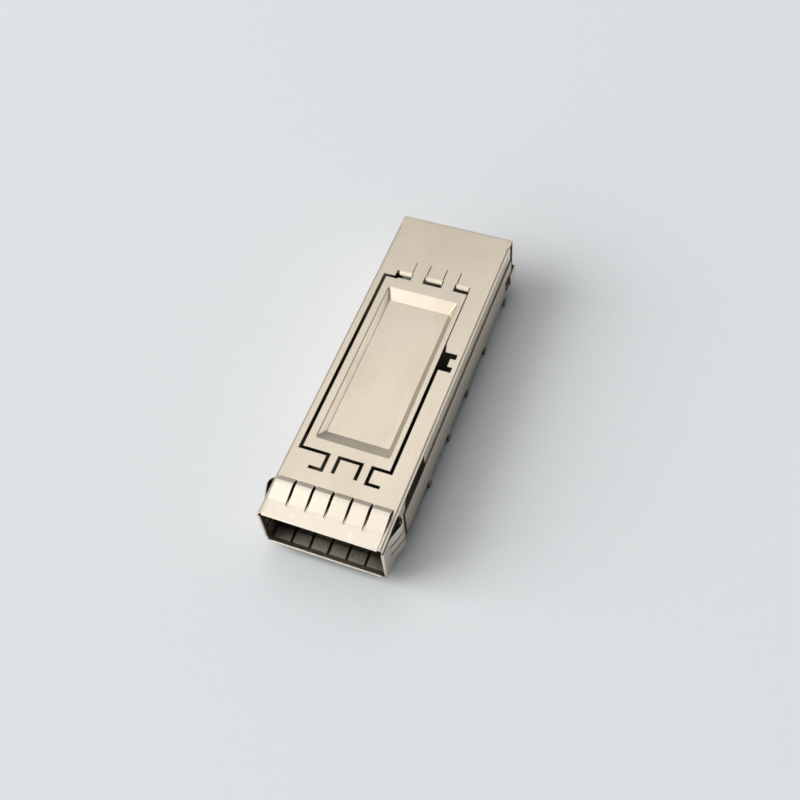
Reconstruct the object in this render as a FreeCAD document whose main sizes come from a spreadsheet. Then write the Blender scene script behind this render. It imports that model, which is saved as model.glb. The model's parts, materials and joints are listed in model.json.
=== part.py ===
import FreeCAD, Part
import math
import os
import re

import Sketcher

# QSFP cage: a module port folded from thin sheet, pressed into a circuit board behind a bezel.
# Millimetres. X runs across the port, +Y from the mouth to the rear, +Z up from the board.
# The origin is the middle of the footprint on the board plane.

os.makedirs("parts", exist_ok=True)
doc = FreeCAD.newDocument("qsfp_cage")

SIZES = {
    # Sheet and shell
    "cage_length": 59.4,
    "cover_width": 19.2,
    "cover_height": 9.0,
    "sheet": 0.2,
    "bend_radius": 0.25,
    "nest_gap": 0.05,
    "flange_height": 5.9,
    "flange_front": 7.7,
    "tongue_ramp": 0.7,
    "corner_relief": 1.8,
    # Spring panel in the top: its slots, measured from the nearest edge of the top
    "slot_width": 0.55,
    "panel_left": 1.6,
    "panel_right": 3.3,
    "panel_front": 11.95,
    "panel_rear": 13.2,
    "hook_front": 9.2,
    "hook_leg": 3.5,
    "hook_reach": 2.1,
    "strap_gap": 1.76,
    "shear_width": 0.15,
    # Windows behind the panel and the flaps bent down from them
    "window_edge": 3.5,
    "window_width": 2.5,
    "window_depth": 1.5,
    "window_middle": 3.2,
    "strap_slit": 2.4,
    "strap_inset": 0.12,
    "flap_length": 0.4,
    "flap_angle": 52.0,
    "flap_gap": 0.06,
    # Recess pressed into the panel
    "rim_left": 1.5,
    "rim_right": 1.1,
    "rim_end": 2.15,
    "recess_depth": 0.95,
    "side_run": 0.8,
    "end_run": 1.9,
    "corner_round": 0.5,
    "press_round": 0.3,
    "floor_round": 0.16,
    # Key notch beside the panel
    "notch_front": 31.1,
    "notch_length": 3.5,
    "notch_reach": 1.1,
    "notch_horn": 0.85,
    "horn_length": 1.0,
    "notch_taper": 1.7,
    # Side latch leaves
    "latch_front": 8.3,
    "latch_window": 8.3,
    "latch_leaf": 4.3,
    "latch_top": 0.65,
    "latch_height": 3.2,
    "latch_slit": 0.18,
    "latch_inset": 1.2,
    # Snap hooks and their windows
    "snap_rear": 4.1,
    "snap_middle": 2.35,
    "snap_length": 1.8,
    "snap_height": 2.7,
    "snap_margin": 0.2,
    "snap_out": 0.3,
    # Tabs of the rear wall, wrapped round the base
    "wrap_length": 2.9,
    "wrap_height": 2.2,
    "wrap_middle": 1.9,
    # Press-fit tails
    "tail_first": 17.5,
    "tail_pitch": 8.8,
    "tail_rear": 4.8,
    "tail_shoulder": 1.4,
    "tail_neck": 0.8,
    "tail_belly": 1.15,
    "tail_tip": 0.4,
    "tail_length": 2.4,
    "tail_eye": 0.3,
    "tail_notch": 2.0,
    "notch_gap": 0.15,
    # Cut-out for the board connector
    "connector_front": 43.6,
    "connector_edge": 1.3,
    "connector_round": 0.8,
    # Spring strips round the mouth
    "strip_sheet": 0.1,
    "strip_gap": 0.02,
    "strip_edge": 0.75,
    "strip_edge_side": 0.95,
    "finger_slot": 0.42,
    "lip_outer": 2.1,
    "root_outer": 1.5,
    "rise_outer": 17.0,
    "crest_outer": 1.2,
    "fall_outer": 70.0,
    "lip_inner": 0.5,
    "root_inner": 1.2,
    "rise_inner": 10.0,
    "crest_inner": 1.5,
    "fall_inner": 35.0,
    "tip_gap": 0.05,
}
FINGERS_WIDE = 6
FINGERS_SIDE = 3
TAILS_IN_ROW = 4

sizes = doc.addObject("Spreadsheet::Sheet", "Sizes")
for row, (word, number) in enumerate(SIZES.items(), start=1):
    sizes.set(f"A{row}", word)
    sizes.set(f"B{row}", str(number))
    sizes.setAlias(f"B{row}", word)
doc.recompute()

# Shared places, written in the words of the sheet
HALF = "(cover_width / 2)"
FRONT = "(-cage_length / 2)"
REAR = "(cage_length / 2)"
BEND = "(bend_radius + sheet)"
FOOT = f"({BEND} + nest_gap)"
BASE_HALF = f"({HALF} + nest_gap + sheet)"
WRAP_HALF = f"({BASE_HALF} + nest_gap + sheet)"
WALL_REAR = f"({REAR} - corner_relief)"


def cell(text):
    """Words of the sheet in an expression become references to its cells."""
    return re.sub(r"[a-z_]+", lambda m: f"Sizes.{m.group()}" if m.group() in SIZES else m.group(), text)


def plane(body, role):
    """One of a body's own origin planes."""
    return next(feature for feature in body.Origin.OriginFeatures if feature.Role == role)


def sketch(body, name, role, offset="0"):
    """An empty sketch on an origin plane, moved along the plane's normal."""
    drawing = body.newObject("Sketcher::SketchObject", name)
    drawing.AttachmentSupport = [(plane(body, role), "")]
    drawing.MapMode = "FlatFace"
    drawing.setExpression("AttachmentOffset.Base.z", cell(offset))
    return drawing


def arc_between(start, end, radius, turn):
    """The short arc of a radius between two points, turning left (+1) or right (-1)."""
    middle = (start + end) * 0.5
    half = (end - start) * 0.5
    rise = math.sqrt(max(radius ** 2 - half.Length ** 2, 0.0))
    across = FreeCAD.Vector(-half.y, half.x, 0).normalize()
    centre = middle + across * rise * turn
    first, last = (start, end) if turn > 0 else (end, start)
    angles = [math.atan2(point.y - centre.y, point.x - centre.x) for point in (first, last)]
    if angles[1] < angles[0]:
        angles[1] += 2 * math.pi
    circle = Part.Circle(centre, FreeCAD.Vector(0, 0, 1), radius)
    return Part.ArcOfCircle(circle, *angles)


def outline(drawing, corners):
    """A closed outline. A corner is (x, y), or (x, y, radius, turn) where an arc leads to the next."""
    first = drawing.GeometryCount
    points = []
    for corner in corners:
        x, y = (float(drawing.evalExpression(cell(text))) for text in corner[:2])
        points.append(FreeCAD.Vector(x, y, 0))
    count = len(corners)
    edges = []
    begins = []
    finishes = []
    for index, corner in enumerate(corners):
        start, end = points[index], points[(index + 1) % count]
        leftward = True
        if len(corner) == 2:
            edges.append(Part.LineSegment(start, end))
        else:
            radius = float(drawing.evalExpression(cell(corner[2])))
            leftward = corner[3] > 0
            edges.append(arc_between(start, end, radius, corner[3]))
        begins.append(1 if leftward else 2)
        finishes.append(2 if leftward else 1)
    drawing.addGeometry(edges, False)

    rules = []
    texts = {}
    for index, corner in enumerate(corners):
        edge = first + index
        after = (index + 1) % count
        rules.append(Sketcher.Constraint("Coincident", edge, finishes[index], first + after, begins[after]))
        place = points[index]
        for kind, value, text in (("DistanceX", place.x, corner[0]), ("DistanceY", place.y, corner[1])):
            texts[len(rules)] = text
            rules.append(Sketcher.Constraint(kind, -1, 1, edge, begins[index], value))
        if len(corner) > 2:
            texts[len(rules)] = corner[2]
            rules.append(Sketcher.Constraint("Radius", edge, edges[index].Radius))
    held = drawing.ConstraintCount
    drawing.addConstraint(rules)
    for number, text in texts.items():
        drawing.setExpression(f"Constraints[{held + number}]", cell(text))


def box(left, front, right, rear):
    """Corners of a rectangle."""
    return [(left, front), (right, front), (right, rear), (left, rear)]


def slot(drawing, path, width):
    """Corners of a slot of one width that follows a square-cornered path."""
    points = [[float(drawing.evalExpression(cell(text))) for text in place] for place in path]
    normals = []
    for here, there in zip(points, points[1:]):
        run = (there[0] - here[0], there[1] - here[1])
        reach = math.hypot(*run)
        normals.append((round(-run[1] / reach), round(run[0] / reach)))
    left = []
    right = []
    for index, (x, y) in enumerate(path):
        near = set(normals[max(index - 1, 0):index + 1])
        aside = (sum(normal[0] for normal in near), sum(normal[1] for normal in near))
        left.append((f"{x} + {aside[0]} * {width} / 2", f"{y} + {aside[1]} * {width} / 2"))
        right.append((f"{x} - {aside[0]} * {width} / 2", f"{y} - {aside[1]} * {width} / 2"))
    return right + left[::-1]


def feature(body, kind, name, drawing, length, side="One side", reverse=False):
    """A pad or pocket of a sketch."""
    doc.recompute()
    made = body.newObject(f"PartDesign::{kind}", name)
    made.Profile = drawing
    made.SideType = side
    made.Reversed = reverse
    made.setExpression("Length", cell(length))
    doc.recompute()
    body.Tip = made
    return made


def mirrored(body, name, originals):
    """The same features on the other side of the port."""
    made = body.newObject("PartDesign::Mirrored", name)
    made.Originals = originals
    made.MirrorPlane = (plane(body, "YZ_Plane"), [""])
    body.Tip = made
    doc.recompute()
    return made


# Cover: top, side walls and rear wall from one sheet
cover = doc.addObject("PartDesign::Body", "cage_cover")
doc.recompute()
TOP = "cover_height"
CEILING = "(cover_height - sheet)"

section = sketch(cover, "cover_section", "XZ_Plane", "cage_length / 2")
outline(section, [
    (HALF, FOOT),
    (HALF, f"{TOP} - {BEND}", BEND, 1),
    (f"{HALF} - {BEND}", TOP),
    (f"-{HALF} + {BEND}", TOP, BEND, 1),
    (f"-{HALF}", f"{TOP} - {BEND}"),
    (f"-{HALF}", FOOT),
    (f"-{HALF} + sheet", FOOT),
    (f"-{HALF} + sheet", f"{TOP} - {BEND}", "bend_radius", -1),
    (f"-{HALF} + {BEND}", CEILING),
    (f"{HALF} - {BEND}", CEILING, "bend_radius", -1),
    (f"{HALF} - sheet", f"{TOP} - {BEND}"),
    (f"{HALF} - sheet", FOOT),
])
feature(cover, "Pad", "cover_shell", section, "cage_length - corner_relief", reverse=True)

# The top runs on past the side walls and folds down over its full width, so each rear corner has a gap
for name, start, width in (
    ("rear_wall", f"{WALL_REAR} - sheet", f"cover_width - 2 * {BEND}"),
    ("rear_corners", WALL_REAR, "cover_width - bend_radius"),
):
    rear_section = sketch(cover, f"{name}_section", "YZ_Plane")
    outline(rear_section, [
        (start, TOP),
        (f"{REAR} - {BEND}", TOP, BEND, -1),
        (REAR, f"{TOP} - {BEND}"),
        (REAR, FOOT),
        (f"{REAR} - sheet", FOOT),
        (f"{REAR} - sheet", f"{TOP} - {BEND}", "bend_radius", 1),
        (f"{REAR} - {BEND}", CEILING),
        (start, CEILING),
    ])
    feature(cover, "Pad", name, rear_section, width, side="Symmetric")

# Slots that free the spring panel
PANEL_LEFT = f"(-{HALF} + panel_left)"
PANEL_RIGHT = f"({HALF} - panel_right)"
PANEL_FRONT = f"({FRONT} + panel_front)"
PANEL_REAR = f"({REAR} - panel_rear)"
HOOK_FRONT = f"({FRONT} + hook_front)"
WINDOW_OUT = f"({HALF} - window_edge)"
WINDOW_IN = f"({WINDOW_OUT} - window_width)"
WINDOW_REAR = f"({PANEL_REAR} + window_depth)"
NOTCH_FRONT = f"({FRONT} + notch_front)"
NOTCH_REAR = f"({NOTCH_FRONT} + notch_length)"
SLOT_DEPTH = "2 * sheet"

left_slot = sketch(cover, "left_slot", "XY_Plane", TOP)
outline(left_slot, slot(left_slot, [
    ("-hook_leg - hook_reach", HOOK_FRONT),
    ("-hook_leg", HOOK_FRONT),
    ("-hook_leg", PANEL_FRONT),
    (PANEL_LEFT, PANEL_FRONT),
    (PANEL_LEFT, PANEL_REAR),
    (f"-{WINDOW_OUT}", PANEL_REAR),
    (f"-{WINDOW_OUT}", WINDOW_REAR),
], "slot_width"))
feature(cover, "Pocket", "left_slot_cut", left_slot, SLOT_DEPTH)

right_slot = sketch(cover, "right_slot", "XY_Plane", TOP)
outline(right_slot, slot(right_slot, [
    ("hook_leg + hook_reach", HOOK_FRONT),
    ("hook_leg", HOOK_FRONT),
    ("hook_leg", PANEL_FRONT),
    (PANEL_RIGHT, PANEL_FRONT),
    (PANEL_RIGHT, f"{NOTCH_FRONT} + horn_length"),
], "slot_width"))
feature(cover, "Pocket", "right_slot_cut", right_slot, SLOT_DEPTH)

middle_slot = sketch(cover, "middle_slot", "XY_Plane", TOP)
outline(middle_slot, slot(middle_slot, [
    ("-strap_gap", HOOK_FRONT),
    ("-strap_gap", PANEL_FRONT),
    ("strap_gap", PANEL_FRONT),
    ("strap_gap", HOOK_FRONT),
], "slot_width"))
feature(cover, "Pocket", "middle_slot_cut", middle_slot, SLOT_DEPTH)

# Key notch with a small square tab, and the sheared line that runs on to the rear windows
NOTCH_LEFT = f"({PANEL_RIGHT} - slot_width / 2)"
NOTCH_TAB = f"({NOTCH_LEFT} + slot_width + notch_reach)"
key_notch = sketch(cover, "key_notch", "XY_Plane", TOP)
outline(key_notch, [
    (NOTCH_LEFT, NOTCH_FRONT),
    (f"{NOTCH_TAB} + notch_horn", NOTCH_FRONT),
    (f"{NOTCH_TAB} + notch_horn", f"{NOTCH_FRONT} + horn_length"),
    (NOTCH_TAB, f"{NOTCH_FRONT} + horn_length"),
    (NOTCH_TAB, f"{NOTCH_REAR} - horn_length"),
    (f"{NOTCH_TAB} + notch_horn", f"{NOTCH_REAR} - horn_length"),
    (f"{NOTCH_TAB} + notch_horn", NOTCH_REAR),
    (f"{NOTCH_LEFT} + slot_width", NOTCH_REAR),
    (f"{NOTCH_LEFT} + shear_width", f"{NOTCH_REAR} + notch_taper"),
    (f"{NOTCH_LEFT} + shear_width", f"{PANEL_REAR} + slot_width"),
    (f"{NOTCH_LEFT} - shear_width", f"{PANEL_REAR} + slot_width"),
    (f"{NOTCH_LEFT} - shear_width", f"{PANEL_REAR} + slot_width / 2"),
    (NOTCH_LEFT, f"{PANEL_REAR} + slot_width / 2"),
])
feature(cover, "Pocket", "key_notch_cut", key_notch, SLOT_DEPTH)

# Windows between the rear straps, then the slits that lengthen the straps
windows = sketch(cover, "rear_windows", "XY_Plane", TOP)
outline(windows, box(f"-{WINDOW_OUT}", PANEL_REAR, f"-{WINDOW_IN}", WINDOW_REAR))
outline(windows, box("-window_middle / 2", PANEL_REAR, "window_middle / 2", WINDOW_REAR))
outline(windows, box(WINDOW_IN, PANEL_REAR, WINDOW_OUT, WINDOW_REAR))
feature(cover, "Pocket", "rear_windows_cut", windows, SLOT_DEPTH)

slits = sketch(cover, "strap_slits", "XY_Plane", TOP)
for edge, sign in (
    (f"-{WINDOW_IN}", -1),
    ("-window_middle / 2", 1),
    ("window_middle / 2", -1),
    (WINDOW_IN, 1),
):
    inner = f"{edge} + {sign} * strap_inset"
    sides = sorted([0, sign])
    left, right = (f"{inner} + {side} * shear_width" for side in sides)
    outline(slits, box(left, f"{WINDOW_REAR} - sheet", right, f"{WINDOW_REAR} + strap_slit"))
feature(cover, "Pocket", "strap_slits_cut", slits, SLOT_DEPTH)

# Recess: the panel's middle is pressed down, with steep sides and long end ramps
RIM_SIDES = (f"({PANEL_LEFT} + rim_left)", f"({PANEL_RIGHT} - rim_right)")
RIM_ENDS = (f"({PANEL_FRONT} + rim_end)", f"({PANEL_REAR} - rim_end)")
SIDE_SHIFT = "(sheet * (sqrt(recess_depth ^ 2 + side_run ^ 2) - side_run) / recess_depth)"
END_SHIFT = "(sheet * (sqrt(recess_depth ^ 2 + end_run ^ 2) - end_run) / recess_depth)"


def press(kind, name, height, side_out, end_out):
    """A block with four sloping sides, from the recess floor up to its rim, grown by a shift."""
    block = cover.newObject(f"PartDesign::{kind}Wedge", name)
    block.Placement = FreeCAD.Placement(
        FreeCAD.Vector(0, 0, 0), FreeCAD.Rotation(FreeCAD.Vector(1, 0, 0), 90))
    for word, text in (
        ("Ymin", f"{height} - recess_depth"),
        ("Ymax", height),
        ("Xmin", f"{RIM_SIDES[0]} + side_run - {side_out}"),
        ("Xmax", f"{RIM_SIDES[1]} - side_run + {side_out}"),
        ("Zmin", f"-{RIM_ENDS[1]} + end_run - {end_out}"),
        ("Zmax", f"-{RIM_ENDS[0]} - end_run + {end_out}"),
        ("X2min", f"{RIM_SIDES[0]} - {side_out}"),
        ("X2max", f"{RIM_SIDES[1]} + {side_out}"),
        ("Z2min", f"-{RIM_ENDS[1]} - {end_out}"),
        ("Z2max", f"-{RIM_ENDS[0]} + {end_out}"),
    ):
        block.setExpression(word, cell(text))
    doc.recompute()
    cover.Tip = block


press("Additive", "recess_under", CEILING, SIDE_SHIFT, END_SHIFT)
press("Subtractive", "recess_hollow", TOP, "0", "0")


def recess_edges(shape, levels):
    """Edges of the recess that run between two heights, given as pairs."""
    limits = (PANEL_LEFT, PANEL_RIGHT, PANEL_FRONT, PANEL_REAR)
    left, right, front, rear = (float(cover.evalExpression(cell(text))) for text in limits)
    found = []
    for index, edge in enumerate(shape.Edges, start=1):
        bounds = edge.BoundBox
        inside = left + 0.5 < bounds.XMin and bounds.XMax < right - 0.5
        inside = inside and front + 0.5 < bounds.YMin and bounds.YMax < rear - 0.5
        heights = any(abs(bounds.ZMin - low) + abs(bounds.ZMax - high) < 1e-3 for low, high in levels)
        if inside and heights:
            found.append(f"Edge{index}")
    return found


def round_recess(name, radius, levels):
    """Round the recess edges that run between pairs of heights."""
    earlier = cover.Tip
    pairs = [[float(cover.evalExpression(cell(text))) for text in pair] for pair in levels]
    made = cover.newObject("PartDesign::Fillet", name)
    made.Base = (earlier, recess_edges(earlier.Shape, pairs))
    made.setExpression("Radius", cell(radius))
    cover.Tip = made
    doc.recompute()


FLOOR = f"({TOP} - recess_depth)"
round_recess("recess_corners", "corner_round", [(FLOOR, TOP), (f"{FLOOR} - sheet", CEILING)])
round_recess("press_rounds", "press_round", [(TOP, TOP)])
round_recess("floor_rounds", "floor_round", [(FLOOR, FLOOR)])

# Flaps bent down from the rear edge of each window
FLAP_Y = f"({WINDOW_REAR} - {BEND} * sin(flap_angle))"
FLAP_Z = f"({TOP} - {BEND} * (1 - cos(flap_angle)))"
FLAP_END_Y = f"({FLAP_Y} - flap_length * cos(flap_angle))"
FLAP_END_Z = f"({FLAP_Z} - flap_length * sin(flap_angle))"
UNDER_Y = "sheet * sin(flap_angle)"
UNDER_Z = "sheet * cos(flap_angle)"
SIDE_WINDOW = f"({WINDOW_OUT} - window_width / 2)"
for name, place, width in (
    ("left_flap", f"-{SIDE_WINDOW}", "window_width"),
    ("middle_flap", "0", "window_middle"),
    ("right_flap", SIDE_WINDOW, "window_width"),
):
    fold = sketch(cover, f"{name}_section", "YZ_Plane", place)
    outline(fold, [
        (f"{WINDOW_REAR} + sheet", TOP),
        (WINDOW_REAR, TOP, BEND, 1),
        (FLAP_Y, FLAP_Z),
        (FLAP_END_Y, FLAP_END_Z),
        (f"{FLAP_END_Y} + {UNDER_Y}", f"{FLAP_END_Z} - {UNDER_Z}"),
        (f"{FLAP_Y} + {UNDER_Y}", f"{FLAP_Z} - {UNDER_Z}", "bend_radius", -1),
        (WINDOW_REAR, CEILING),
        (f"{WINDOW_REAR} + sheet", CEILING),
    ])
    feature(cover, "Pad", name, fold, f"{width} - 2 * (strap_inset + flap_gap)", side="Symmetric")

# Latch leaves: a window in each side wall, and a leaf sprung inward from its front edge
LATCH_FRONT = f"({FRONT} + latch_front)"
LATCH_LOW = f"({TOP} - latch_top - latch_height)"
latch_window = sketch(cover, "latch_window", "YZ_Plane", HALF)
outline(latch_window, box(LATCH_FRONT, LATCH_LOW, f"{LATCH_FRONT} + latch_window", f"{TOP} - latch_top"))
latch_hole = feature(cover, "Pocket", "latch_window_cut", latch_window, SLOT_DEPTH)

latch_leaf = sketch(cover, "latch_leaf_section", "XY_Plane", f"{LATCH_LOW} + latch_height / 2")
outline(latch_leaf, [
    (HALF, f"{LATCH_FRONT} - sheet"),
    (HALF, LATCH_FRONT),
    (f"{HALF} - latch_inset", f"{LATCH_FRONT} + latch_leaf"),
    (f"{HALF} - latch_inset - sheet", f"{LATCH_FRONT} + latch_leaf"),
    (f"{HALF} - sheet", LATCH_FRONT),
    (f"{HALF} - sheet", f"{LATCH_FRONT} - sheet"),
])
leaf = feature(cover, "Pad", "latch_leaf", latch_leaf, "latch_height - 2 * latch_slit", side="Symmetric")
mirrored(cover, "latch_left", [latch_hole, leaf])

# Snap hooks lanced outward near the rear
SNAP_Y = f"({REAR} - snap_rear)"
SNAP_LOW = "(snap_middle - snap_height / 2)"
SNAP_HIGH = "(snap_middle + snap_height / 2)"
lance = sketch(cover, "snap_lance", "YZ_Plane", HALF)
outline(lance, box(
    f"{SNAP_Y} - snap_length / 2 + snap_margin", f"{SNAP_LOW} + snap_margin",
    f"{SNAP_Y} + snap_length / 2 - snap_margin", f"{SNAP_HIGH} - snap_margin"))
lanced = feature(cover, "Pocket", "snap_lance_cut", lance, SLOT_DEPTH)

hook = sketch(cover, "snap_hook_section", "XZ_Plane", f"-{SNAP_Y}")
HOOK_LOW = f"({SNAP_LOW} + snap_margin)"
HOOK_END = "(snap_middle - snap_margin)"
outline(hook, [
    (HALF, f"{HOOK_LOW} - sheet"),
    (HALF, HOOK_LOW),
    (f"{HALF} + snap_out", HOOK_END),
    (f"{HALF} - sheet + snap_out", HOOK_END),
    (f"{HALF} - sheet", HOOK_LOW),
    (f"{HALF} - sheet", f"{HOOK_LOW} - sheet"),
])
snap = feature(cover, "Pad", "snap_hook", hook, "snap_length - 4 * snap_margin", side="Symmetric")
mirrored(cover, "snap_left", [lanced, snap])

# Tabs of the rear wall that wrap round the base
wrap = sketch(cover, "wrap_section", "XY_Plane", "wrap_middle")
outline(wrap, [
    (f"{HALF} - {BEND} - sheet", REAR),
    (f"{HALF} - {BEND} - sheet", f"{REAR} - sheet"),
    (f"{WRAP_HALF} - {BEND}", f"{REAR} - sheet", "bend_radius", -1),
    (f"{WRAP_HALF} - sheet", f"{REAR} - {BEND}"),
    (f"{WRAP_HALF} - sheet", f"{REAR} - wrap_length"),
    (WRAP_HALF, f"{REAR} - wrap_length"),
    (WRAP_HALF, f"{REAR} - {BEND}", BEND, 1),
    (f"{WRAP_HALF} - {BEND}", REAR),
])
tab = feature(cover, "Pad", "wrap_tab", wrap, "wrap_height", side="Symmetric")
mirrored(cover, "wrap_tab_left", [tab])

# Base: bottom plate, outer flanges and board tails from one sheet. The front tongue of the plate
# stands higher by the thickness of the spring strip, so the strip lies flush and the board ends behind it
TONGUE = "(strip_sheet + strip_gap)"
base = doc.addObject("PartDesign::Body", "cage_base")
doc.recompute()
RAMP_REAR = f"({FRONT} + flange_front)"
RAMP_FRONT = f"({RAMP_REAR} - tongue_ramp)"
plate = sketch(base, "plate_section", "YZ_Plane")
outline(plate, [
    (FRONT, TONGUE),
    (RAMP_FRONT, TONGUE),
    (RAMP_REAR, "0"),
    (WALL_REAR, "0"),
    (WALL_REAR, "sheet"),
    (RAMP_REAR, "sheet"),
    (RAMP_FRONT, f"{TONGUE} + sheet"),
    (FRONT, f"{TONGUE} + sheet"),
])
feature(base, "Pad", "plate", plate, "cover_width", side="Symmetric")

trough = sketch(base, "trough_section", "XZ_Plane", "cage_length / 2 - flange_front")
outline(trough, [
    (BASE_HALF, "flange_height"),
    (BASE_HALF, BEND, BEND, -1),
    (f"{BASE_HALF} - {BEND}", "0"),
    (f"-{BASE_HALF} + {BEND}", "0", BEND, -1),
    (f"-{BASE_HALF}", BEND),
    (f"-{BASE_HALF}", "flange_height"),
    (f"-{BASE_HALF} + sheet", "flange_height"),
    (f"-{BASE_HALF} + sheet", BEND, "bend_radius", 1),
    (f"-{BASE_HALF} + {BEND}", "sheet"),
    (f"{BASE_HALF} - {BEND}", "sheet", "bend_radius", 1),
    (f"{BASE_HALF} - sheet", BEND),
    (f"{BASE_HALF} - sheet", "flange_height"),
])
feature(base, "Pad", "trough", trough, "cage_length - flange_front - corner_relief", reverse=True)

CONNECTOR_FRONT = f"({FRONT} + connector_front)"
CONNECTOR_HALF = f"({HALF} - connector_edge)"
opening = sketch(base, "connector_opening", "XY_Plane", "sheet")
outline(opening, [
    (f"-{CONNECTOR_HALF}", REAR),
    (f"-{CONNECTOR_HALF}", f"{CONNECTOR_FRONT} + connector_round", "connector_round", 1),
    (f"-{CONNECTOR_HALF} + connector_round", CONNECTOR_FRONT),
    (f"{CONNECTOR_HALF} - connector_round", CONNECTOR_FRONT, "connector_round", 1),
    (CONNECTOR_HALF, f"{CONNECTOR_FRONT} + connector_round"),
    (CONNECTOR_HALF, REAR),
])
feature(base, "Pocket", "connector_cut", opening, SLOT_DEPTH)

tail_places = [f"({FRONT} + tail_first + {number} * tail_pitch)" for number in range(TAILS_IN_ROW)]
tail_places.append(f"({REAR} - tail_rear)")

# Each tail is a tongue of the bottom plate that stayed straight when its flange was folded up
notches = sketch(base, "tail_notches", "XY_Plane", f"{BEND} + nest_gap")
for place in tail_places:
    wide = "(tail_shoulder / 2 + notch_gap)"
    for near, far in ((f"-{BASE_HALF} - sheet", f"-{BASE_HALF} + tail_notch"),
                      (f"{BASE_HALF} - tail_notch", f"{BASE_HALF} + sheet")):
        outline(notches, box(near, f"{place} - {wide}", far, f"{place} + {wide}"))
feature(base, "Pocket", "tail_notches_cut", notches, f"2 * {BEND}")

tails = sketch(base, "tail_outlines", "YZ_Plane", f"{BASE_HALF} - sheet")
steps = [
    ("tail_shoulder", f"{BEND} + 3 * nest_gap"),
    ("tail_shoulder", "0"),
    ("tail_neck", "0"),
    ("tail_neck", "-tail_length / 5"),
    ("tail_belly", "-tail_length / 2.3"),
    ("tail_belly", "-tail_length / 1.7"),
    ("tail_neck", "-tail_length / 1.2"),
    ("tail_tip", "-tail_length"),
]
eye = [("0", "-tail_length / 5"), ("tail_eye", "-tail_length / 2.3"),
       ("tail_eye", "-tail_length / 1.7"), ("0", "-tail_length / 1.25")]
for place in tail_places:
    right_side = [(f"{place} + {width} / 2", height) for width, height in steps]
    left_side = [(f"{place} - {width} / 2", height) for width, height in steps]
    outline(tails, right_side + left_side[::-1])
    right_side = [(f"{place} + {width} / 2", height) for width, height in eye]
    left_side = [(f"{place} - {width} / 2", height) for width, height in eye[1:3]]
    outline(tails, right_side + left_side[::-1])
tail_row = feature(base, "Pad", "tails", tails, "sheet")
mirrored(base, "tails_left", [tail_row])

snap_window = sketch(base, "snap_window", "YZ_Plane")
outline(snap_window, box(f"{SNAP_Y} - snap_length / 2", SNAP_LOW, f"{SNAP_Y} + snap_length / 2", SNAP_HIGH))
feature(base, "Pocket", "snap_window_cut", snap_window, f"2 * {BASE_HALF} + 2 * sheet", side="Symmetric")


def finger(lip, root, rise, crest, fall, side):
    """Corners of one sprung finger from its tip to the lip: outer face first, then the face to the sheet.

    It leaves the lip on a root bend and rises straight to a crest near its rear.
    The tip falls back to the sheet.
    """
    near = f"(strip_gap + {0 if side > 0 else 1} * sheet)"
    climb = f"(tip_gap + {crest} * (cos({rise}) - cos({fall})) - {root} * (1 - cos({rise})))"
    straight = f"({climb} / sin({rise}))"
    middle = f"({lip} + ({root} + {crest}) * sin({rise}) + {straight} * cos({rise}))"
    centre = f"(tip_gap - {crest} * cos({fall}))"
    faces = []
    for thick in ("strip_sheet", "0"):
        bend = f"({crest} + {thick})"
        turn = f"({root} - {thick})"
        tip = f"{side} * ({near} + {centre} + {bend} * cos({fall}))"
        top = f"{side} * ({near} + {centre} + {bend} * cos({rise}))"
        low = f"{side} * ({near} + {root} - {turn} * cos({rise}))"
        faces.append([
            (f"{middle} + {bend} * sin({fall})", tip, bend, side),
            (f"{middle} - {bend} * sin({rise})", top),
            (f"{lip} + {turn} * sin({rise})", low, turn, -side),
            (lip, f"{side} * ({near} + {thick})"),
        ])
    return faces


def backward(corners):
    """The same corners in the other order, with the arcs turned to match."""
    turned = []
    for index in range(len(corners) - 1, -1, -1):
        arc = corners[index - 1][2:] if index > 0 else ()
        arc = (arc[0], -arc[1]) if arc else ()
        turned.append(corners[index][:2] + arc)
    return turned


def spring_strip(name, fingers, span, edge):
    """A strip folded round a sheet edge: +Y runs in from the edge, +Z away from the sheet's outer face."""
    body = doc.addObject("PartDesign::Body", name)
    doc.recompute()
    outer, outer_sheet = finger("lip_outer", "root_outer", "rise_outer", "crest_outer", "fall_outer", 1)
    inner, inner_sheet = finger("lip_inner", "root_inner", "rise_inner", "crest_inner", "fall_inner", -1)
    hem = "(sheet / 2 + strip_gap)"
    hem_out = f"({hem} + strip_sheet)"
    fold = sketch(body, f"{name}_section", "YZ_Plane")
    outline(fold, outer + [
        ("0", "strip_gap + strip_sheet", hem_out, 1),
        (f"-{hem_out}", "-sheet / 2", hem_out, 1),
        ("0", "-sheet - strip_gap - strip_sheet"),
    ] + backward(inner) + inner_sheet + [
        ("0", "-sheet - strip_gap", hem, -1),
        (f"-{hem}", "-sheet / 2", hem, -1),
        ("0", "strip_gap"),
    ] + backward(outer_sheet))
    width = f"({span} - 2 * {edge})"
    feature(body, "Pad", f"{name}_fold", fold, width, side="Symmetric")

    for side, lip, level, reverse in (
        ("outer", "lip_outer", "0", True),
        ("inner", "lip_inner", "-sheet", False),
    ):
        gaps = sketch(body, f"{name}_{side}_slots", "XY_Plane", level)
        far = f"{lip} + 4 * (root_outer + crest_outer)"
        round_root = f"({lip} + finger_slot / 2)"
        for number in range(1, fingers):
            middle = f"({width} * {number / fingers - 0.5})"
            left = f"{middle} - finger_slot / 2"
            right = f"{middle} + finger_slot / 2"
            if side == "inner":
                outline(gaps, box(left, lip, right, far))
                continue
            outline(gaps, [
                (right, far),
                (left, far),
                (left, round_root, "finger_slot / 2", 1),
                (middle, lip, "finger_slot / 2", 1),
                (right, round_root),
            ])
        feature(body, "Pocket", f"{name}_{side}_slots_cut", gaps,
                "2 * (root_outer + crest_outer)", reverse=reverse)
    return body


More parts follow.
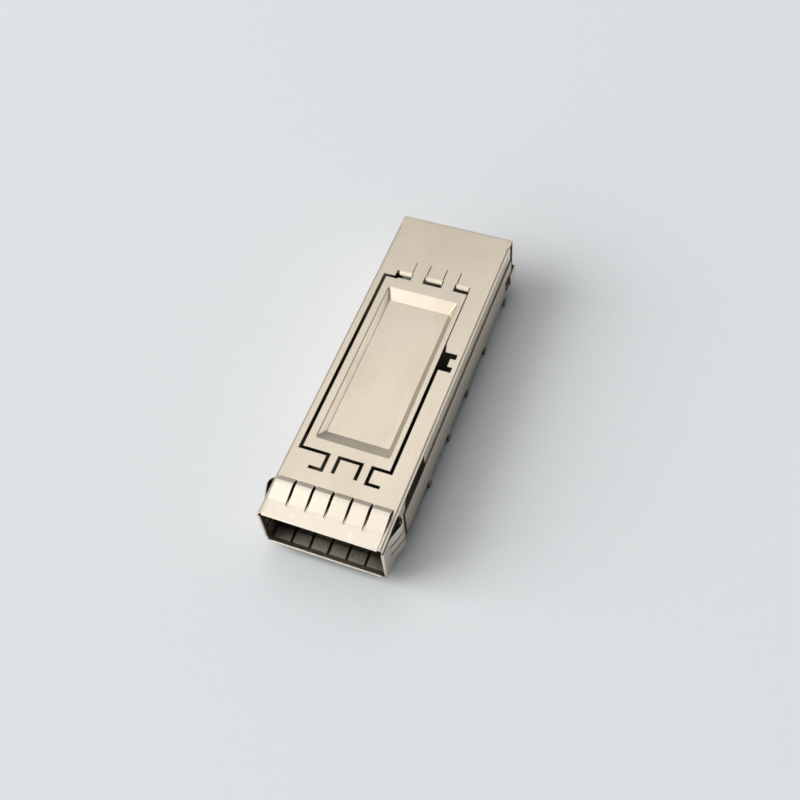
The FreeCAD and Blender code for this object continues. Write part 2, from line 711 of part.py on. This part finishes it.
def stand(body, turn, x, z):
    """Set a strip on its edge: turned about Y, at the front."""
    body.Placement = FreeCAD.Placement(
        FreeCAD.Vector(0, 0, 0), FreeCAD.Rotation(FreeCAD.Vector(0, 1, 0), turn))
    for axis, text in (("x", x), ("y", FRONT), ("z", z)):
        body.setExpression(f".Placement.Base.{axis}", cell(text))


WALL_MIDDLE = f"(({FOOT} + {TOP}) / 2)"
WALL_SPAN = f"({TOP} - {FOOT})"
strips = [
    spring_strip("emi_spring_top", FINGERS_WIDE, "cover_width", "strip_edge"),
    spring_strip("emi_spring_bottom", FINGERS_WIDE, "cover_width", "strip_edge"),
    spring_strip("emi_spring_right", FINGERS_SIDE, WALL_SPAN, "strip_edge_side"),
    spring_strip("emi_spring_left", FINGERS_SIDE, WALL_SPAN, "strip_edge_side"),
]
stand(strips[0], 0, "0", TOP)
stand(strips[1], 180, "0", TONGUE)
stand(strips[2], 90, HALF, WALL_MIDDLE)
stand(strips[3], -90, f"-{HALF}", WALL_MIDDLE)
doc.recompute()

# Check every object, then write one file for each piece
for item in doc.Objects:
    if any(word in item.State for word in ("Invalid", "Error")):
        raise RuntimeError(f"{item.Label}: {item.State}")
for body in [cover, base] + strips:
    shape = body.Shape
    if shape.isNull() or not shape.isValid() or len(shape.Solids) != 1:
        raise RuntimeError(f"{body.Label}: shape is not one sound solid")
    shape.exportStep(f"parts/{body.Label}.step")
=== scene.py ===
import json
import math

import bpy
from mathutils import Matrix, Vector


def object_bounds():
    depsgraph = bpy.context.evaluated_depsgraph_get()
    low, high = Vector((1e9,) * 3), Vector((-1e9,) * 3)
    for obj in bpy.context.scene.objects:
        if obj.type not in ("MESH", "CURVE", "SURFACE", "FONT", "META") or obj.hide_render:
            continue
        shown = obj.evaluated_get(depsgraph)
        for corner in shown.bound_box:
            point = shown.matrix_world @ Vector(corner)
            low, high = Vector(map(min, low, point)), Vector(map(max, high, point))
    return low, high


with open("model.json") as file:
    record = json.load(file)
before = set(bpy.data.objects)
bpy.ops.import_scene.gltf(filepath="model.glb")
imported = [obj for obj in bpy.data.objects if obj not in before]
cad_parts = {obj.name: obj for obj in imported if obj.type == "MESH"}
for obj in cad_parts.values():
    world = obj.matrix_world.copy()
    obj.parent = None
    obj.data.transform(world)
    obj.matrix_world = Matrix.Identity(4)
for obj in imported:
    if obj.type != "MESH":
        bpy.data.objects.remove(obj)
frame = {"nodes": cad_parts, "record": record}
cad_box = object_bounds()

# QSFP cage in nickel-plated sheet, on a pale floor under soft studio light.
# Metres, in the frame of the part: the mouth faces -Y, the board lies below.

MILLIMETRE = 0.001

# Traces in the surfaces, in grains per metre along each axis
GRAIN = {"stretch": (9000.0, 420.0, 9000.0), "detail": 4.0}
SATIN = {"stretch": (16000.0, 16000.0, 16000.0), "detail": 2.0}
STAINS = {"stretch": (170.0, 90.0, 170.0), "detail": 4.0}
SCUFFS = {"stretch": (2600.0, 300.0, 2600.0), "detail": 5.0, "roughness": 0.7}
TOOTH = {"stretch": (700.0, 700.0, 700.0), "detail": 3.0}

# From which to which value of its noise a trace sets in
GRAINED = (0.25, 0.75)
STAINED = (0.35, 0.65)
SCUFFED = (0.60, 0.72)

# How the traces show in the sheet
GRAIN_SMOOTHER = 0.05
GRAIN_ROUGHER = 0.06
SCUFF_ROUGHER = 0.08
GRAIN_HEIGHT = 0.7
SATIN_HEIGHT = 0.3
RELIEF = 0.004 * MILLIMETRE
RELIEF_STRENGTH = 0.22

# Cut edges: their rounding, and how far the normal turns from the edge to the flat, as a cosine
EDGE_ROUND = 0.09 * MILLIMETRE
EDGE_TURN = (0.86, 0.99)
EDGE_SHINE = 0.25
EDGE_SAMPLES = 6
CUT_EDGE = (0.95, 0.92, 0.86, 1.0)

# Painted shade: darkness painted into corners, gaps, hollows and the inside of the cage
PAINTED_SHADE = (0.055, 0.048, 0.036, 1.0)
PAINTED_SHADE_SHARE = 0.95
PAINTED_SHADE_SAMPLES = 8
SHEET_SHADE_REACH = 12.0 * MILLIMETRE

# Spot welds behind the upper and the lower lip of the mouth, on the outer faces only
WELD_FROM_EDGE = 1.05 * MILLIMETRE
WELD_ASIDE = 4.4 * MILLIMETRE
WELD_RADIUS = 0.45 * MILLIMETRE
WELD_FACE = 0.75 * WELD_RADIUS
WELD_BOWL = 0.4 * WELD_RADIUS
WELD_ABOVE = 9.05 * MILLIMETRE
WELD_BELOW = 0.05 * MILLIMETRE
WELD_SHINE = 0.55
WELD_DEPTH = 6.0

# The plate on each kind of sheet, and the range of its painted shade
COVER = {
    "light": (0.88, 0.785, 0.655, 1.0),
    "dark": (0.82, 0.725, 0.60, 1.0),
    "roughness": 0.36,
    "painted_shade_range": (0.25, 0.62),
}
# The base is coloured darker than the cover as painted shade on its side walls: its plating is the same
BASE = {
    "light": (0.80, 0.725, 0.61, 1.0),
    "dark": (0.74, 0.67, 0.56, 1.0),
    "roughness": 0.38,
    "painted_shade_range": (0.30, 0.95),
}
STRIP = {
    "light": (0.91, 0.83, 0.72, 1.0),
    "dark": (0.86, 0.775, 0.66, 1.0),
    "roughness": 0.30,
    "painted_shade_range": (0.35, 0.95),
    "welds": True,
}

# The pale floor, with a painted shadow where the part lies close above it
FLOOR_LIGHT = (0.90, 0.93, 0.96, 1.0)
FLOOR_DARK = (0.88, 0.915, 0.95, 1.0)
FLOOR_ROUGHNESS = 0.9
FLOOR_GLOSS = 0.2
FLOOR_PAINTED_SHADE_RANGE = (0.2, 0.42)
FLOOR_SHADE_REACH = 20.0 * MILLIMETRE
FLOOR_REACH = 2.4
FLOOR_MIDDLE = (1.0, 0.2)

# The lamps and the room
LAMP_DISTANCE = 3.5
NEUTRAL = (1.0, 0.99, 0.975)
WARM = (1.0, 0.985, 0.96)
CARD = (1.0, 0.99, 0.97)
ROOM = (0.21, 0.21, 0.206, 1.0)
WALL = (0.64, 0.667, 0.685, 1.0)
WALL_TOP = (0.10, 0.28)

# The photograph's camera
CAMERA_PLACE = Vector((43.770, -85.178, 144.151)) * MILLIMETRE
CAMERA_TARGET = Vector((1.667, -2.946, 4.5)) * MILLIMETRE
CAMERA_ROLL = math.radians(-7.4)
CAMERA_SENSOR = 36.0
CAMERA_LENS = 48.59
CAMERA_NEAR = 5.0 * MILLIMETRE


def node(tree, kind, settings=None, **inputs):
    """Add a shader node. An input is a value or the socket of an earlier node."""
    made = tree.nodes.new(f"ShaderNode{kind}")
    for word, value in (settings or {}).items():
        setattr(made, word, value)
    for word, value in inputs.items():
        feed(tree, made.inputs[word.replace("_", " ")], value)
    return made


def feed(tree, socket, value):
    """Link a socket, or set it to a constant."""
    if isinstance(value, bpy.types.NodeSocket):
        tree.links.new(value, socket)
    else:
        socket.default_value = value


def calculate(tree, operation, first, second=0.0):
    """One step of arithmetic."""
    made = tree.nodes.new("ShaderNodeMath")
    made.operation = operation
    feed(tree, made.inputs[0], first)
    feed(tree, made.inputs[1], second)
    return made.outputs[0]


def blend_colours(tree, share, first, second):
    """A colour between two, by a share from 0 to 1."""
    made = tree.nodes.new("ShaderNodeMix")
    made.data_type = "RGBA"
    feed(tree, made.inputs[0], share)
    feed(tree, made.inputs[6], first)
    feed(tree, made.inputs[7], second)
    return made.outputs[2]


def spread(tree, value, low, high, to_low, to_high):
    """Map a range of values to another, held at its ends."""
    made = node(tree, "MapRange", From_Min=low, From_Max=high, To_Min=to_low, To_Max=to_high)
    feed(tree, made.inputs["Value"], value)
    return made.outputs["Result"]


def noise(tree, place, stretch, detail, roughness=0.55):
    """Noise whose grains measure 1 / stretch metres along each axis."""
    mapped = node(tree, "Mapping", Vector=place, Scale=stretch)
    made = node(tree, "TexNoise", Vector=mapped.outputs[0], Scale=1.0, Detail=detail, Roughness=roughness)
    return made.outputs["Fac"]


def surface(name):
    """A new material, its node tree, its shader and the place on the object."""
    material = bpy.data.materials.new(name)
    material.use_nodes = True
    tree = material.node_tree
    place = node(tree, "TexCoord").outputs["Object"]
    return material, tree, tree.nodes["Principled BSDF"], place


def shade(tree, colour, reach, painted_shade_range):
    """Paint shade into a colour where things within a reach close it in.

    The painted shade range is the open share of the surroundings at which the painted shade is darkest, and
    that at which there is none.
    """
    open_share = node(tree, "AmbientOcclusion", {"samples": PAINTED_SHADE_SAMPLES}, Distance=reach).outputs["AO"]
    return blend_colours(tree, spread(tree, open_share, *painted_shade_range, PAINTED_SHADE_SHARE, 0.0), colour, PAINTED_SHADE)


def cut_edges(tree):
    """The normal rounded over at the edges, and a mask of the edges."""
    rounded = node(tree, "Bevel", {"samples": EDGE_SAMPLES}, Radius=EDGE_ROUND).outputs["Normal"]
    flat = node(tree, "NewGeometry").outputs["Normal"]
    turned = node(tree, "VectorMath", {"operation": "DOT_PRODUCT"})
    feed(tree, turned.inputs[0], rounded)
    feed(tree, turned.inputs[1], flat)
    return rounded, spread(tree, turned.outputs["Value"], *EDGE_TURN, 1.0, 0.0)


def weld_marks(tree, place):
    """Small round spot welds, two behind each long lip: their bright face and their dent."""
    parts = node(tree, "SeparateXYZ", Vector=place)
    front = cad_box[0][1]
    aside = calculate(tree, "SUBTRACT", calculate(tree, "ABSOLUTE", parts.outputs["X"]), WELD_ASIDE)
    along = calculate(tree, "SUBTRACT", parts.outputs["Y"], front + WELD_FROM_EDGE)
    aside_squared = calculate(tree, "MULTIPLY", aside, aside)
    along_squared = calculate(tree, "MULTIPLY", along, along)
    away = calculate(tree, "SQRT", calculate(tree, "ADD", aside_squared, along_squared))
    above = calculate(tree, "GREATER_THAN", parts.outputs["Z"], WELD_ABOVE)
    below = calculate(tree, "LESS_THAN", parts.outputs["Z"], WELD_BELOW)
    outside = calculate(tree, "MAXIMUM", above, below)
    face = spread(tree, away, WELD_FACE, WELD_RADIUS, 1.0, 0.0)
    bowl = spread(tree, away, WELD_BOWL, WELD_RADIUS, 1.0, 0.0)
    return calculate(tree, "MULTIPLY", outside, face), calculate(tree, "MULTIPLY", outside, bowl)


def nickel(name, light, dark, roughness, painted_shade_range, welds=False):
    """Nickel plate with grain along the roll, soft stains, scuffs, bright cut edges and painted shade in
    corners and hollows.
    """
    material, tree, shader, place = surface(name)
    grain = noise(tree, place, **GRAIN)
    satin = noise(tree, place, **SATIN)
    stained = spread(tree, noise(tree, place, **STAINS), *STAINED, 0.0, 1.0)
    scuffed = spread(tree, noise(tree, place, **SCUFFS), *SCUFFED, 0.0, 1.0)
    rounded, edge = cut_edges(tree)

    colour = blend_colours(tree, stained, light, dark)
    colour = blend_colours(tree, calculate(tree, "MULTIPLY", edge, EDGE_SHINE), colour, CUT_EDGE)
    # Painted shade: the colour darkens where the cage closes the surroundings in
    colour = shade(tree, colour, SHEET_SHADE_REACH, painted_shade_range)
    rough = spread(tree, grain, *GRAINED, roughness - GRAIN_SMOOTHER, roughness + GRAIN_ROUGHER)
    rough = calculate(tree, "ADD", rough, calculate(tree, "MULTIPLY", scuffed, SCUFF_ROUGHER))
    height = calculate(tree, "MULTIPLY", grain, GRAIN_HEIGHT)
    height = calculate(tree, "ADD", height, calculate(tree, "MULTIPLY", satin, SATIN_HEIGHT))
    if welds:
        mark, dent = weld_marks(tree, place)
        colour = blend_colours(tree, calculate(tree, "MULTIPLY", mark, WELD_SHINE), colour, CUT_EDGE)
        height = calculate(tree, "SUBTRACT", height, calculate(tree, "MULTIPLY", dent, WELD_DEPTH))
    bumped = node(tree, "Bump", Strength=RELIEF_STRENGTH, Distance=RELIEF, Height=height, Normal=rounded)

    feed(tree, shader.inputs["Base Color"], colour)
    feed(tree, shader.inputs["Roughness"], rough)
    feed(tree, shader.inputs["Normal"], bumped.outputs["Normal"])
    shader.inputs["Metallic"].default_value = 1.0
    return material


def pale_card():
    """Plain pale card with a faint tooth, and a painted shadow where the part lies close above it."""
    material, tree, shader, place = surface("pale_card")
    colour = blend_colours(tree, noise(tree, place, **TOOTH), FLOOR_LIGHT, FLOOR_DARK)
    # Painted shadow: the card darkens where the part lies close above it
    colour = shade(tree, colour, FLOOR_SHADE_REACH, FLOOR_PAINTED_SHADE_RANGE)
    feed(tree, shader.inputs["Base Color"], colour)
    shader.inputs["Roughness"].default_value = FLOOR_ROUGHNESS
    shader.inputs["Specular IOR Level"].default_value = FLOOR_GLOSS
    return material


def aim(place, target, roll=0.0):
    """Stand at a place and look at a target, rolled about the line of sight."""
    back = (place - target).normalized()
    right = Vector((0, 0, 1)).cross(back).normalized()
    basis = Matrix((right, back.cross(right), back)).transposed()
    return Matrix.Translation(place) @ (basis @ Matrix.Rotation(roll, 3, "Z")).to_4x4()


def softbox(name, direction, wide, high, radiance, colour):
    """A large soft lamp that faces the part. Seen from the part, it is so many degrees wide and high."""
    lamp = bpy.data.lights.new(name, "AREA")
    lamp.shape = "RECTANGLE"
    lamp.size = 2.0 * LAMP_DISTANCE * math.tan(math.radians(wide / 2.0))
    lamp.size_y = 2.0 * LAMP_DISTANCE * math.tan(math.radians(high / 2.0))
    lamp.energy = radiance * math.pi * lamp.size * lamp.size_y
    lamp.color = colour
    holder = bpy.data.objects.new(name, lamp)
    holder.matrix_world = aim(Vector(direction).normalized() * LAMP_DISTANCE, Vector((0, 0, 0)))
    holder.visible_camera = False
    bpy.context.scene.collection.objects.link(holder)


def studio():
    """A grey room with a pale wall all round, which the eye and the metal see low above the floor."""
    made = bpy.data.worlds.new("studio")
    made.use_nodes = True
    tree = made.node_tree
    parts = node(tree, "SeparateXYZ", Vector=node(tree, "TexCoord").outputs["Generated"])
    low_down = spread(tree, parts.outputs["Z"], *WALL_TOP, 1.0, 0.0)
    path = node(tree, "LightPath").outputs
    shown = calculate(tree, "MAXIMUM", path["Is Camera Ray"], path["Is Glossy Ray"])
    shown = calculate(tree, "MAXIMUM", shown, path["Is Transmission Ray"])
    colour = blend_colours(tree, calculate(tree, "MULTIPLY", low_down, shown), ROOM, WALL)
    feed(tree, tree.nodes["Background"].inputs["Color"], colour)
    return made


# Each piece of the cage in the finish of its sheet
finishes = {
    "cover_plate": nickel("satin_nickel_cover", **COVER),
    "base_plate": nickel("satin_nickel_base", **BASE),
    "spring_strip": nickel("bright_nickel_strip", **STRIP),
}
for part in frame["record"]["subparts"]:
    shape = frame["nodes"][part["node"]].data
    shape.materials.clear()
    shape.materials.append(finishes[part["material_slot"]])

# The floor lies at the tips of the tails
floor_mesh = bpy.data.meshes.new("floor")
low = cad_box[0][2]
corners = [
    (FLOOR_MIDDLE[0] + x * FLOOR_REACH, FLOOR_MIDDLE[1] + y * FLOOR_REACH, low)
    for x, y in ((-1, -1), (1, -1), (1, 1), (-1, 1))
]
floor_mesh.from_pydata(corners, [], [(0, 1, 2, 3)])
floor_mesh.materials.append(pale_card())
floor = bpy.data.objects.new("floor", floor_mesh)
bpy.context.scene.collection.objects.link(floor)

softbox("overhead", (-0.26, -0.18, 0.95), wide=34.0, high=49.0, radiance=0.85, colour=NEUTRAL)
softbox("overhead_rear", (-0.26, 0.39, 0.885), wide=34.0, high=19.0, radiance=1.14, colour=NEUTRAL)
softbox("back", (-0.25, 0.70, 0.67), wide=34.0, high=26.0, radiance=0.30, colour=WARM)
softbox("key", (-0.78, -0.38, 0.55), wide=42.0, high=42.0, radiance=4.4, colour=NEUTRAL)
softbox("front_card", (-0.40, -1.0, 0.31), wide=34.0, high=18.0, radiance=2.2, colour=CARD)
softbox("right_card", (0.87, 0.50, 0.13), wide=27.0, high=13.0, radiance=1.3, colour=CARD)
bpy.context.scene.world = studio()

eye = bpy.data.cameras.new("camera")
eye.sensor_width = CAMERA_SENSOR
eye.lens = CAMERA_LENS
eye.clip_start = CAMERA_NEAR
camera = bpy.data.objects.new("camera", eye)
camera.matrix_world = aim(CAMERA_PLACE, CAMERA_TARGET, CAMERA_ROLL)
bpy.context.scene.collection.objects.link(camera)
bpy.context.scene.camera = camera

bpy.context.scene.view_settings.view_transform = "Standard"
